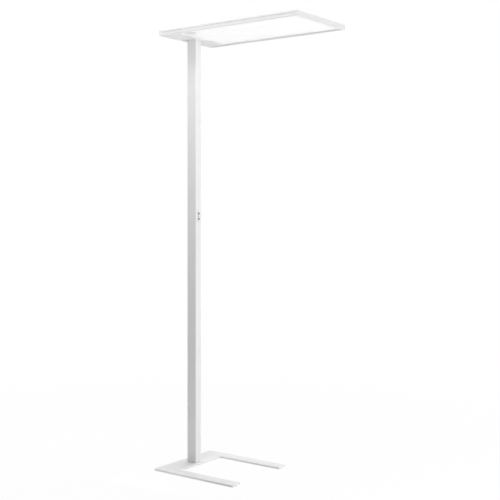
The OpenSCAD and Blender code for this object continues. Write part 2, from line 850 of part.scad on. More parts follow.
// The sensor's box, open at its top, with a ledge on two sides that carries the panel
module sensor_box() {
    wall = sensor_wall;
    z0 = head_z + bay_recess;
    z1 = head_z + sensor_wall_top;
    ledge_z1 = head_z + ledge_top;
    color(coat_white) difference() {
        union() {
            block([sensor_x0, sensor_y0, z0], [sensor_x1, sensor_y1, z1]);
            block([sensor_x0, sensor_y0, ledge_z1 - ledge_t],
                [sensor_x1 + sensor_ledge, sensor_y1 + sensor_ledge, ledge_z1]);
        }
        block([sensor_x0 + wall, sensor_y0 + wall, z0 + wall], [sensor_x1 - wall, sensor_y1 - wall, z1 + 1]);
        translate([dome_x, dome_y, head_z]) cylinder(h = head_t, r = dome_d / 2 + seat_gap);
        // slot for the control lead
        block([sensor_x0 - 1, dome_y - lead_slot, control_top - lead_slot],
            [sensor_x0 + wall + 1, dome_y + lead_slot, z1 + 1]);
    }
}

// A dome with a flange inside the box
dome_flange_t = 1.2;
dome_flange_w = 2;
module sensor_dome() {
    z0 = head_z + bay_recess;
    r = dome_d / 2;
    sphere_r = (r * r + dome_h * dome_h) / (2 * dome_h);
    color(opal_white) {
        translate([dome_x, dome_y, z0]) cylinder(h = sensor_wall + dome_flange_t, r = r);
        translate([dome_x, dome_y, z0 + sensor_wall]) cylinder(h = dome_flange_t, r = r + dome_flange_w);
        translate([dome_x, dome_y, z0]) intersection() {
            translate([0, 0, sphere_r - dome_h]) sphere(sphere_r, $fn = 64);
            translate([0, 0, -dome_h - 1]) cylinder(h = dome_h + 1, r = r);
        }
    }
}

module sensor_board() {
    thickness = 1.2;
    z0 = head_z + bay_recess + sensor_wall + dome_flange_t;
    x0 = dome_x - dome_d / 2 - dome_flange_w - 1;
    inset = sensor_wall + joint_gap;
    color(board_green) translate([x0, sensor_y0 + inset, z0])
        cube([sensor_x1 - inset - x0, sensor_w - 2 * inset, thickness]);
}

// Panes and sheets over the window share one outline: a rectangle less the sensor's corner
module panel_area(y, x1) {
    notch_x = sensor_x1 + joint_gap;
    notch_y = sensor_y1 + joint_gap;
    difference() {
        translate([panel_x0, -y]) square([x1 - panel_x0, 2 * y]);
        translate([panel_x0 - 1, -half_w]) square([notch_x - panel_x0 + 1, notch_y + half_w]);
    }
}

module downlight_diffuser() {
    color(opal_white) translate([0, 0, head_z + lip_h]) linear_extrude(pane_t) panel_area(panel_y, panel_x1);
}

guide_z = head_z + lip_h + pane_t + seat_gap;
module light_guide() {
    color(acrylic_tint) translate([0, 0, guide_z]) linear_extrude(guide_t) panel_area(guide_y, panel_x1);
}

module reflector_sheet() {
    color(opal_white) translate([0, 0, guide_z + guide_t + seat_gap]) linear_extrude(reflector_t)
        panel_area(guide_y, panel_x1);
}

strip_x0 = sensor_x1 + 4;
strip_x1 = rail_x1 - 12;
module led_strip(side) {
    strip_y = side * (half_w - rail_wall - strip_t / 2);
    color(board_white) translate([strip_x0, strip_y - strip_t / 2, guide_z])
        cube([strip_x1 - strip_x0, strip_t, guide_t]);
}

module led_strip_near() {
    led_strip(-1);
}

module led_strip_far() {
    led_strip(1);
}

tray_z = head_z + shelf_top;
tray_t = 1.5;
module heat_plate() {
    color(bare_alu) block([panel_x0, -plate_y, tray_z], [rail_x1 - ledge_w / 2, plate_y, tray_z + tray_t]);
}

// The window in the head's top, the boards below it and the pane that closes it
uplight_x0 = panel_x0 + uplight_end;
uplight_l = panel_x1 - panel_x0 - 2 * uplight_end;
uplight_w = head_w - 2 * uplight_side;
uplight_board_w = 24;
uplight_pitch = uplight_w / uplight_n;
module uplight_boards() {
    from_end = 5;
    size = [uplight_l - 2 * from_end, uplight_board_w, 1.6];
    y0 = -(uplight_n - 1) / 2 * uplight_pitch - uplight_board_w / 2;
    color(board_white) for (i = [0:uplight_n - 1])
        translate([uplight_x0 + from_end, y0 + i * uplight_pitch, tray_z + tray_t]) cube(size);
}

pane_overlap = 8;
module uplight_pane() {
    size = [uplight_l + 2 * pane_overlap, uplight_w + 2 * pane_overlap, pane_t];
    color(opal_white) translate([uplight_x0 - pane_overlap, -size[1] / 2, head_z + cover_z - pane_t])
        cube(size);
}

module top_cover() {
    cover_x0 = head_x0 + cap_wall + joint_gap;
    cover_y = half_w - rail_wall - joint_gap;
    color(coat_white) difference() {
        block([cover_x0, -cover_y, head_z + cover_z], [rail_x1 - joint_gap, cover_y, lamp_h]);
        translate([uplight_x0, -uplight_w / 2, head_z]) cube([uplight_l, uplight_w, 2 * head_t]);
        cover_screw_places() flat_screw_hole(small_r, sheet_t);
    }
}

module top_cover_screws() {
    color(coat_white) cover_screw_places() flat_screw(small_r, cover_screw_l);
}

module driver() {
    step_l = 9;
    step_h = 3;
    color(plastic_white) translate([driver_x0, driver_y0, cover_top]) difference() {
        cube([driver_w, driver_l, driver_h]);
        // stepped ends where the terminals are
        for (y = [-1, driver_l - step_l])
            translate([-1, y, driver_h - step_h]) cube([driver_w + 2, step_l + 1, step_h + 1]);
    }
}

// Two thin leads from the driver: one to the boards that shine upwards, one to the far strip
led_lead_y = driver_y0 + driver_l - 50;
led_pitch = led_lead_d + 1;
led_bay_z = post_z1 + bracket_t + led_lead_d / 2 + seat_gap;
led_tray_z = tray_z + tray_t + led_lead_d / 2 + seat_gap;
module led_leads() {
    board_edge = (uplight_n - 1) / 2 * uplight_pitch + uplight_board_w / 2;
    end_x = [uplight_x0 + 30, strip_x0 + 10];
    end_y = [board_edge + led_lead_d / 2 + joint_gap, plate_y - led_lead_d];
    color(lead_grey) for (i = [0, 1]) {
        y = led_lead_y + i * led_pitch;
        lead([
            [driver_x0 + driver_w + joint_gap, y, led_bay_z], [bay_edge + web_t + 3, y, led_bay_z],
            [panel_x0 + 16, y, led_tray_z], [end_x[i], end_y[i], led_tray_z]
        ], led_lead_d, 5, [0, 0, 1]);
    }
}

base_plate();
base_pads();
foot_screws();
foot_block();
foot_gasket();
post_tube();
post_screws();
cord_gland();
terminal_block();
mains_lead();
lead_clips();
control_frame();
control_housing();
control_board();
switch_upper();
switch_lower();
plunger_upper();
plunger_lower();
key_upper();
key_lower();
key_dot_upper();
key_dot_lower();
control_lead();
top_block();
head_bracket();
bracket_bolts();
bracket_screws();
side_rail_near();
side_rail_far();
end_cap_post();
end_cap_free();
end_cap_screws();
cross_bar();
bay_cover();
cover_spacers();
bay_cover_screws();
sensor_box();
sensor_dome();
sensor_board();
downlight_diffuser();
light_guide();
reflector_sheet();
led_strip_near();
led_strip_far();
heat_plate();
uplight_boards();
uplight_pane();
top_cover();
top_cover_screws();
driver();
led_leads();
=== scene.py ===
import math

import bmesh
import bpy
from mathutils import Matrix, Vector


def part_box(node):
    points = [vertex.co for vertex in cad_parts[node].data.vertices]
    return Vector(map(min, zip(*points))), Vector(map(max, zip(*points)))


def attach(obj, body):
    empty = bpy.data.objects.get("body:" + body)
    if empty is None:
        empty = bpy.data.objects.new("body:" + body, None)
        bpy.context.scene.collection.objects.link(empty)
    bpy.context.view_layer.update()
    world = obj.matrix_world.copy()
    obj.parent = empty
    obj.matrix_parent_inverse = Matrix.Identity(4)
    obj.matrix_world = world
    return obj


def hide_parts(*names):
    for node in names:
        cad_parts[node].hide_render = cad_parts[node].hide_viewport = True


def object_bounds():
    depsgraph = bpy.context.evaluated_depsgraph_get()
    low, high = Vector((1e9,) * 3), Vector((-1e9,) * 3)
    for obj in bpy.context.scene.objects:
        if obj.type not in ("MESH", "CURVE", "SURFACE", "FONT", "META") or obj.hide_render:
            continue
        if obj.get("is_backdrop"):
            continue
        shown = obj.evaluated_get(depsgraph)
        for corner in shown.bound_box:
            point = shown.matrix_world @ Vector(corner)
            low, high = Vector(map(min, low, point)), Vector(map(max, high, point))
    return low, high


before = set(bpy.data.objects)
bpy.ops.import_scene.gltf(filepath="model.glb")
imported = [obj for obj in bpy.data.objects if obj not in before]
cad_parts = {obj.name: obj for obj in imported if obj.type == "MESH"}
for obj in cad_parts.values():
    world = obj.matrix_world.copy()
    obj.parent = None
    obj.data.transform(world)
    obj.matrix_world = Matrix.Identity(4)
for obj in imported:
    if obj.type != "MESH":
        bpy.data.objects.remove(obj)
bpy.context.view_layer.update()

# Camera: level, turned to the photograph's viewing angle. Its place, lens and shift were
# solved from the photograph together with the lamp's sizes.
bpy.ops.object.camera_add(
    location=(2.709, -3.264, 1.1427), rotation=(math.radians(90), 0, math.radians(36.25))
)
camera = bpy.context.object
camera.name = "camera"
camera.data.sensor_width = 36
camera.data.lens = 66.79
camera.data.shift_y = -0.0736
bpy.context.scene.camera = camera
bpy.context.scene.view_settings.view_transform = "Standard"

# Studio: a plain white room. The camera, gloss and clear pieces see plain white, and a much
# weaker even light comes from all round. The soft lights give the lamp its shades.
studio = bpy.data.worlds.new("studio")
bpy.context.scene.world = studio
studio.use_nodes = True
nodes = studio.node_tree.nodes
links = studio.node_tree.links
nodes.clear()
ray = nodes.new("ShaderNodeLightPath")
seen_or_gloss = nodes.new("ShaderNodeMath")
seen_or_gloss.operation = "MAXIMUM"
seen = nodes.new("ShaderNodeMath")
seen.operation = "MAXIMUM"
even_light = nodes.new("ShaderNodeBackground")
even_light.inputs["Strength"].default_value = 0.02
white_room = nodes.new("ShaderNodeBackground")
white_room.inputs["Strength"].default_value = 1.0
for background in (even_light, white_room):
    background.inputs["Color"].default_value = (1, 1, 1, 1)
room = nodes.new("ShaderNodeMixShader")
room_out = nodes.new("ShaderNodeOutputWorld")
links.new(ray.outputs["Is Camera Ray"], seen_or_gloss.inputs[0])
links.new(ray.outputs["Is Glossy Ray"], seen_or_gloss.inputs[1])
links.new(seen_or_gloss.outputs[0], seen.inputs[0])
links.new(ray.outputs["Is Transmission Ray"], seen.inputs[1])
links.new(seen.outputs[0], room.inputs[0])
links.new(even_light.outputs[0], room.inputs[1])
links.new(white_room.outputs[0], room.inputs[2])
links.new(room.outputs[0], room_out.inputs["Surface"])


def soft_light(name, place, aim, size, power):
    """A rectangular studio light with its middle at place, turned towards aim."""
    bpy.ops.object.light_add(type="AREA", location=place)
    light = bpy.context.object
    light.name = name
    light.data.shape = "RECTANGLE"
    light.data.size, light.data.size_y = size
    light.data.energy = power
    light.visible_camera = False
    way = [a - p for a, p in zip(aim, place)]
    flat = math.hypot(way[0], way[1])
    light.rotation_euler = (math.atan2(flat, -way[2]), 0, math.atan2(-way[0], way[1]))


soft_light("overhead", (0.5, 8.0, 20.0), (0.5, 0.6, 0), (16.0, 16.0), 3150)
soft_light("front_right", (4.4, 0.9, 1.2), (0, 0.1, 1.0), (2.0, 2.6), 78)
soft_light("front_left_high", (0.9, -1.7, 3.1), (0.4, -0.1, 1.9), (1.5, 1.0), 26)
soft_light("front_left_level", (0.6, -1.6, 2.2), (0.4, -0.1, 1.9), (1.0, 0.6), 5.5)
soft_light("post_top_left", (-0.15, -0.9, 1.75), (0, 0, 1.7), (0.5, 0.4), 1.7)
soft_light("foot_left", (0.02, -0.42, 0.06), (0, 0, 0.1), (0.3, 0.08), 0.12)
soft_light("low_bounce", (1.9, 0.2, 0.3), (0.35, 0, 1.93), (1.4, 1.0), 8.5)
soft_light("behind_foot", (-1.0, -0.08, 0.9), (-0.02, 0, 0), (0.6, 0.6), 2.6)

# Floor: a plain pale floor that runs out to the horizon. The camera and gloss see it nearly
# white, with the lamp's faint shadow round the foot, and plain white further out.
bpy.ops.mesh.primitive_plane_add(size=80, location=(0, 0, 0))
floor = bpy.context.object
floor.name = "floor"
floor_finish = bpy.data.materials.new("pale_floor")
floor_finish.use_nodes = True
nodes = floor_finish.node_tree.nodes
links = floor_finish.node_tree.links
nodes.clear()
ray = nodes.new("ShaderNodeLightPath")
floor_place = nodes.new("ShaderNodeTexCoord")
way_out = nodes.new("ShaderNodeVectorMath")
way_out.operation = "LENGTH"
white_share = nodes.new("ShaderNodeMapRange")
white_share.inputs["From Min"].default_value = 0.7
white_share.inputs["From Max"].default_value = 2.6
white_share.inputs["To Min"].default_value = 0.94
white_share.inputs["To Max"].default_value = 1.0
seen_or_gloss = nodes.new("ShaderNodeMath")
seen_or_gloss.operation = "MAXIMUM"
seen_share = nodes.new("ShaderNodeMath")
seen_share.operation = "MULTIPLY"
pale = nodes.new("ShaderNodeBsdfDiffuse")
pale.inputs["Color"].default_value = (0.9, 0.9, 0.9, 1)
white = nodes.new("ShaderNodeEmission")
white.inputs["Strength"].default_value = 1.0
floor_mix = nodes.new("ShaderNodeMixShader")
floor_out = nodes.new("ShaderNodeOutputMaterial")
links.new(floor_place.outputs["Object"], way_out.inputs[0])
links.new(way_out.outputs["Value"], white_share.inputs["Value"])
links.new(ray.outputs["Is Camera Ray"], seen_or_gloss.inputs[0])
links.new(ray.outputs["Is Glossy Ray"], seen_or_gloss.inputs[1])
links.new(seen_or_gloss.outputs[0], seen_share.inputs[0])
links.new(white_share.outputs["Result"], seen_share.inputs[1])
links.new(seen_share.outputs[0], floor_mix.inputs[0])
links.new(pale.outputs[0], floor_mix.inputs[1])
links.new(white.outputs[0], floor_mix.inputs[2])
links.new(floor_mix.outputs[0], floor_out.inputs["Surface"])
floor.data.materials.append(floor_finish)
floor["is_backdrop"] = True

# Base plate: one flat U-shaped steel plate, laser cut, its edges broken and powder coated
# white. Four countersunk screws from below hold it to the block in the post's foot.
MM = 0.001


def stock(name, low, high):
    """A block of stock between two corners in mm."""
    bpy.ops.object.select_all(action="DESELECT")
    middle = [(a + b) / 2 * MM for a, b in zip(low, high)]
    bpy.ops.mesh.primitive_cube_add(size=1, location=middle)
    piece = bpy.context.object
    piece.name = name
    piece.scale = [(b - a) * MM for a, b in zip(low, high)]
    bpy.ops.object.transform_apply(location=True, rotation=True, scale=True)
    return piece


def box_mm(node):
    """A CAD node's lowest and highest corner in mm."""
    low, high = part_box(node)
    return [v / MM for v in low], [v / MM for v in high]


def take(piece, kind, test):
    """Opens the piece for editing and selects its faces or edges by their middle in mm and
    their normal or direction."""
    if piece.mode != "EDIT":
        bpy.ops.object.select_all(action="DESELECT")
        piece.select_set(True)
        bpy.context.view_layer.objects.active = piece
        bpy.ops.object.mode_set(mode="EDIT")
    bpy.ops.mesh.select_mode(type=kind)
    bpy.ops.mesh.select_all(action="DESELECT")
    mesh = bmesh.from_edit_mesh(piece.data)
    if kind == "FACE":
        for face in mesh.faces:
            face.select_set(test(face.calc_center_median() / MM, face.normal))
    else:
        for edge in mesh.edges:
            a, b = (v.co for v in edge.verts)
            edge.select_set(test((a + b) / 2 / MM, (b - a).normalized()))
    bmesh.update_edit_mesh(piece.data)


def done(piece):
    """Closes the piece after editing."""
    bpy.ops.object.mode_set(mode="OBJECT")
    return piece


def round_corners(piece, radius, steps, test):
    """Rounds the edges that pass the test to a radius in mm."""
    take(piece, "EDGE", test)
    bpy.ops.mesh.bevel(offset=radius * MM, segments=steps, affect="EDGES", clamp_overlap=False)
    return done(piece)


def combine(piece, others, operation):
    """Joins the other solids to the piece, or cuts them out of it, then merges flat faces."""
    for other in others:
        joint = piece.modifiers.new("joint", "BOOLEAN")
        joint.operation = operation
        joint.solver = "EXACT"
        joint.object = other
        bpy.ops.object.select_all(action="DESELECT")
        piece.select_set(True)
        bpy.context.view_layer.objects.active = piece
        bpy.ops.object.modifier_apply(modifier=joint.name)
        bpy.data.objects.remove(other)
    bpy.ops.object.mode_set(mode="EDIT")
    bpy.ops.mesh.select_all(action="SELECT")
    bpy.ops.mesh.remove_doubles(threshold=MM / 500)
    bpy.ops.mesh.dissolve_limited(angle_limit=math.radians(0.2))
    return done(piece)


def weld(piece, *others):
    return combine(piece, others, "UNION")


def cut_away(piece, *others):
    return combine(piece, others, "DIFFERENCE")


def upright(middle, way):
    """Picks the edges that stand along Z."""
    return abs(way.z) > 0.9


def break_edges(piece, width, steps=2):
    """Takes the sharpness off every edge, to a width in mm, and smooths what is left."""
    bpy.ops.object.select_all(action="DESELECT")
    piece.select_set(True)
    bpy.context.view_layer.objects.active = piece
    edge = piece.modifiers.new("edge", "BEVEL")
    edge.width = width * MM
    edge.segments = steps
    edge.limit_method = "ANGLE"
    edge.angle_limit = math.radians(35)
    bpy.ops.object.modifier_apply(modifier=edge.name)
    bpy.ops.object.shade_smooth_by_angle(angle=math.radians(50))
    return piece


def turned(name, rings, sides=40, bored=False):
    """A piece turned round Z from (radius, height) rings in mm. A bored piece has a hole
    through it, and its last ring closes on its first."""
    bpy.ops.object.select_all(action="DESELECT")
    radius, height = rings[0]
    bpy.ops.mesh.primitive_circle_add(
        vertices=sides, radius=radius * MM, fill_type="NOTHING" if bored else "NGON",
        location=(0, 0, height * MM),
    )
    piece = bpy.context.object
    piece.name = name
    bpy.ops.object.transform_apply(location=True, rotation=True, scale=True)
    bpy.ops.object.mode_set(mode="EDIT")
    bpy.ops.mesh.select_all(action="SELECT")
    for next_radius, next_height in rings[1:] + rings[:1] * bored:
        rise = {"value": (0, 0, (next_height - height) * MM)}
        if bored:
            bpy.ops.mesh.extrude_edges_move(TRANSFORM_OT_translate=rise)
        else:
            bpy.ops.mesh.extrude_region_move(TRANSFORM_OT_translate=rise)
        spread = next_radius / radius
        bpy.ops.transform.resize(value=(spread, spread, 1), center_override=(0, 0, 0))
        radius, height = next_radius, next_height
    bpy.ops.mesh.select_all(action="SELECT")
    bpy.ops.mesh.remove_doubles(threshold=MM / 1000)
    bpy.ops.mesh.normals_make_consistent(inside=False)
    bpy.ops.object.mode_set(mode="OBJECT")
    bpy.ops.object.shade_smooth_by_angle(angle=math.radians(40))
    return piece


def at_each(piece, places, turn=(0, 0, 0)):
    """Copies of one piece, each with its own mesh, turned and set at places in mm, as one."""
    name = piece.name
    bpy.ops.object.select_all(action="DESELECT")
    for place in places:
        copy = piece.copy()
        copy.data = piece.data.copy()
        bpy.context.scene.collection.objects.link(copy)
        copy.location = [v * MM for v in place]
        copy.rotation_euler = [math.radians(v) for v in turn]
        copy.select_set(True)
        bpy.context.view_layer.objects.active = copy
    bpy.data.objects.remove(piece)
    if len(places) > 1:
        bpy.ops.object.join()
    bpy.ops.object.transform_apply(location=True, rotation=True, scale=True)
    whole = bpy.context.object
    whole.name = name
    return whole


def fit(piece, node, finish, body="lamp"):
    """Keeps a finished piece's flat faces flat where they meet its rounded edges, gives it
    its material, hangs it on its body, and hides its CAD node, whose place it takes."""
    bpy.ops.object.select_all(action="DESELECT")
    piece.select_set(True)
    bpy.context.view_layer.objects.active = piece
    flat_faces = piece.modifiers.new("flat_faces", "WEIGHTED_NORMAL")
    flat_faces.weight = 100
    flat_faces.keep_sharp = True
    bpy.ops.object.modifier_apply(modifier=flat_faces.name)
    piece.data.materials.clear()
    piece.data.materials.append(finish)
    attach(piece, body)
    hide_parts(node)


def surface(name, colour, rough, grain, relief, mottle=0.015, metal=0.0, stretch=(1, 1, 1)):
    """A finish with a fine relief: grain is its size and relief its height in mm. Its tone
    and its gloss drift a little across the piece. stretch draws the grain out."""
    finish = bpy.data.materials.new(name)
    finish.use_nodes = True
    nodes = finish.node_tree.nodes
    links = finish.node_tree.links
    skin = nodes["Principled BSDF"]
    skin.inputs["Metallic"].default_value = metal
    place = nodes.new("ShaderNodeTexCoord")
    drawn = nodes.new("ShaderNodeMapping")
    drawn.inputs["Scale"].default_value = stretch
    links.new(place.outputs["Object"], drawn.inputs["Vector"])
    fine = nodes.new("ShaderNodeTexNoise")
    fine.inputs["Scale"].default_value = 1 / (grain * MM)
    fine.inputs["Detail"].default_value = 3
    links.new(drawn.outputs[0], fine.inputs["Vector"])
    bump = nodes.new("ShaderNodeBump")
    bump.inputs["Strength"].default_value = 1
    bump.inputs["Distance"].default_value = relief * MM
    links.new(fine.outputs["Fac"], bump.inputs["Height"])
    links.new(bump.outputs[0], skin.inputs["Normal"])
    drift = nodes.new("ShaderNodeTexNoise")
    drift.inputs["Scale"].default_value = 14
    drift.inputs["Detail"].default_value = 4
    links.new(drawn.outputs[0], drift.inputs["Vector"])
    tone = nodes.new("ShaderNodeValToRGB")
    for stop, share in zip(tone.color_ramp.elements, (1 - mottle, 1 + mottle)):
        stop.color = [min(c * share, 1) for c in colour] + [1]
    tone.color_ramp.elements[0].position = 0.3
    tone.color_ramp.elements[1].position = 0.7
    links.new(drift.outputs["Fac"], tone.inputs[0])
    links.new(tone.outputs[0], skin.inputs["Base Color"])
    gloss = nodes.new("ShaderNodeMapRange")
    gloss.inputs["From Min"].default_value = 0.3
    gloss.inputs["From Max"].default_value = 0.7
    gloss.inputs["To Min"].default_value = rough - 0.03
    gloss.inputs["To Max"].default_value = rough + 0.03
    links.new(drift.outputs["Fac"], gloss.inputs["Value"])
    links.new(gloss.outputs[0], skin.inputs["Roughness"])
    return finish


def sunk_hole(head, shank, sink, depth, sides=24):
    """The room of a countersunk screw, from its head's face down, with radii and depths in mm."""
    return turned("hole", [(head, 1), (head, 0), (shank, -sink), (shank, -depth)], sides)


coated_steel = surface("white_powder_coat_on_steel", (0.80, 0.80, 0.80), 0.40, 0.6, 0.012)
low, high = box_mm("base_plate")
prong_width = 55
web_front = 38
outer_corner, inner_corner = 4, 5
plate = stock("base_plate_coated", low, high)
gap_y = high[1] - prong_width
cut_away(plate, stock("gap", (web_front, -gap_y, low[2] - 1), (high[0] + 1, gap_y, high[2] + 1)))
round_corners(
    plate, outer_corner, 6,
    lambda m, d: upright(m, d) and not (abs(m.x - web_front) < 1 and abs(m.y) < gap_y + 1),
)
round_corners(plate, inner_corner, 6, lambda m, d: upright(m, d) and abs(m.x - web_front) < 0.5)
break_edges(plate, 0.6, 3)
foot_screw_x, foot_screw_y = 14, 10
foot_screw_places = [
    (x, y, low[2]) for x in (-foot_screw_x, foot_screw_x) for y in (-foot_screw_y, foot_screw_y)
]
hole = sunk_hole(5.8, 3.1, 2.7, 9, 32)
cut_away(plate, at_each(hole, foot_screw_places, turn=(180, 0, 0)))
fit(plate, "base_plate", coated_steel)

# Base pads: five moulded rubber pads under the plate, one of them below the post. Each has
# a chamfered rim and a shallow hollow that grips the floor.
rubber = surface("dark_rubber", (0.045, 0.045, 0.047), 0.75, 0.5, 0.03, mottle=0.12)
pads = turned("base_pads_moulded", [(10, 2), (10, 0.6), (9.4, 0), (7.6, 0), (7.0, 0.4)])
pad_inset = 20
pad_x, pad_y = (low[0] + pad_inset, high[0] - pad_inset), high[1] - pad_inset
pads = at_each(pads, [(0, 0, 0)] + [(x, y, 0) for x in pad_x for y in (-pad_y, pad_y)])
fit(pads, "base_pads", rubber)

# Foot screws: four zinc-plated countersunk steel screws, driven up through the plate with a
# hexagon key.
zinc = surface("zinc_plated_steel", (0.60, 0.61, 0.63), 0.34, 0.35, 0.006, mottle=0.05, metal=1.0)


def screw(name, rings, socket, depth, places, turn):
    """Screws turned head up round Z, with a hexagon socket of that radius and depth in mm
    below the head's face."""
    piece = turned(name, rings, 32)
    face = rings[0][1]
    cut_away(piece, turned("socket", [(socket, face + 1), (socket, face - depth)], 6))
    bpy.ops.object.shade_smooth_by_angle(angle=math.radians(40))
    return at_each(piece, places, turn)


foot_screws = screw(
    "foot_screws_zinc",
    [(5.4, 0), (5.7, -0.2), (5.7, -0.3), (3, -2.7), (3, -19.5), (2.6, -20)],
    2.3, 2.2, foot_screw_places, (180, 0, 0),
)
fit(foot_screws, "foot_screws", zinc)

# Foot block: a sawn aluminium block that stands inside the post and takes the screws of
# the plate below and of the post's rear wall.
milled = surface(
    "milled_aluminium", (0.74, 0.75, 0.77), 0.36, 0.8, 0.01, 0.04, 1.0, stretch=(1, 1, 12)
)


def dress(node, finish):
    """A CAD node whose shape is right keeps it and gets a better material."""
    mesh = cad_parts[node].data
    mesh.materials.clear()
    mesh.materials.append(finish)


dress("foot_block", milled)

# Foot gasket: a pale grey rubber frame between the plate and the post, set back a little,
# which shows as the thin shaded joint under the post.
pale_rubber = surface("pale_rubber", (0.70, 0.70, 0.70), 0.6, 0.5, 0.03, mottle=0.03)
low, high = box_mm("foot_gasket")
gasket = stock("foot_gasket_rubber", low, high)
round_corners(gasket, 2, 4, upright)
break_edges(gasket, 0.5, 3)
opening_x, opening_y = 22.5, 16.5
opening = stock(
    "opening", (-opening_x, -opening_y, low[2] - 1), (opening_x, opening_y, high[2] + 1)
)
cut_away(gasket, round_corners(opening, 1, 3, upright))
fit(gasket, "foot_gasket", pale_rubber)

# Post: one length of rectangular aluminium tube, powder coated white, with a window for the
# control in front and holes for the cord inlet and four screws behind.
coated_aluminium = surface(
    "white_powder_coat_on_aluminium", (0.80, 0.80, 0.80), 0.36, 0.6, 0.01
)
low, high = box_mm("post_tube")
post = stock("post_tube_coated", low, high)
round_corners(post, 2, 5, upright)
break_edges(post, 0.25)
wall = 2.5
bore = stock(
    "bore", (low[0] + wall, low[1] + wall, low[2] - 1),
    (high[0] - wall, high[1] - wall, high[2] + 1),
)
round_corners(bore, 1, 3, upright)
housing_low, housing_high = box_mm("control_housing")
window_play, housing_rim = 0.1, 1.3
window = stock(
    "window", (0, housing_low[1] - window_play, housing_low[2] + housing_rim),
    (high[0] + 1, housing_high[1] + window_play, housing_high[2] - housing_rim),
)
gland_z, inlet_radius = 66, 5.6
post_screw_y, lower_screw_z, upper_screw_drop, screw_hole_radius = 11, 35, 50, 2.1
inlet = at_each(
    turned("inlet", [(inlet_radius, -9), (inlet_radius, 9)]), [(low[0], 0, gland_z)], (0, 90, 0)
)
post_screw_places = [
    (low[0], y, z)
    for y in (-post_screw_y, post_screw_y) for z in (lower_screw_z, high[2] - upper_screw_drop)
]
screw_holes = turned("holes", [(screw_hole_radius, -9), (screw_hole_radius, 9)], 24)
screw_holes = at_each(screw_holes, post_screw_places, (0, 90, 0))
cut_away(post, bore, window, inlet, screw_holes)
fit(post, "post_tube", coated_aluminium)

# Post screws: four zinc-plated screws with low round heads through the post's rear wall,
# two into the foot block and two into the top block.
post_screws = screw(
    "post_screws_zinc",
    [(2.0, 1.4), (2.6, 1.25), (3.2, 0.8), (3.5, 0.3), (3.5, 0), (2, 0), (2, -10)],
    1.25, 1.0, post_screw_places, (0, -90, 0),
)
fit(post_screws, "post_screws", zinc)

# Cord inlet: a black moulded bushing low on the post's rear face. A flange with a rounded
# lip outside and a collar inside hold it in the wall.
black_moulding = surface("black_moulded_plastic", (0.03, 0.03, 0.032), 0.45, 0.3, 0.008, 0.08)
gland = turned(
    "cord_gland_moulded",
    [(3.7, 5), (6.4, 5), (6.4, 2.5), (5.5, 2.5), (5.5, 0), (7.6, 0), (7.7, -0.2), (7.7, -1),
     (7.4, -1.6), (6.8, -1.95), (6.0, -2), (4.6, -2), (4.1, -1.7), (3.8, -1.2), (3.7, -0.6)],
    48, bored=True,
)
gland = at_each(gland, [(low[0], 0, gland_z)], (0, 90, 0))
fit(gland, "cord_gland", black_moulding)

# Mains terminals, leads and clips inside the post: a white moulded terminal block on the
# foot block, grey round leads, and white saddles that hold them on the rear wall.
white_moulding = surface("white_moulded_plastic", (0.79, 0.79, 0.79), 0.38, 0.25, 0.006, 0.01)
grey_jacket = surface("grey_lead_jacket", (0.33, 0.34, 0.35), 0.5, 0.4, 0.01, 0.05)
dress("terminal_block", white_moulding)
dress("lead_clips", white_moulding)
for lead_node in ("mains_lead", "control_lead", "led_leads"):
    dress(lead_node, grey_jacket)

# Control frame: a thin aluminium frame round the two keys, coated with the post, its rim
# rounded, glued over the window in the post.
low, high = box_mm("control_frame")
control_frame = stock("control_frame_coated", low, high)


def crossways(middle, way):
    """Picks the edges that run along X."""
    return abs(way.x) > 0.9


round_corners(control_frame, 2.5, 6, crossways)
key_width, key_height, keys_apart, key_play = 16, 24, 1.6, 0.3
frame_mid = (low[2] + high[2]) / 2
window_y = key_width / 2 + key_play
reach = key_height + keys_apart / 2 + key_play
frame_window = stock(
    "frame_window", (low[0] - 1, -window_y, frame_mid - reach),
    (high[0] + 1, window_y, frame_mid + reach),
)
round_corners(frame_window, 1.3, 4, crossways)
cut_away(control_frame, frame_window)
break_edges(control_frame, 0.3, 3)
fit(control_frame, "control_frame", coated_aluminium)

# Keys: two moulded keys, one above the other, each with rounded edges and a front that is
# slightly hollow from side to side, stop flanges behind the frame, and a stem that meets
# its switch. A round dark inlay sits in each. They travel 1 mm.
dark_inlay = surface("dark_inlay", (0.18, 0.18, 0.183), 0.25, 0.3, 0.003, 0.05)
hollow_radius, hollow_depth = 100, 0.22
flange_x, flange_thick, flange_reach, flange_short, stem_radius = 22.9, 1.8, 1.2, 2, 2


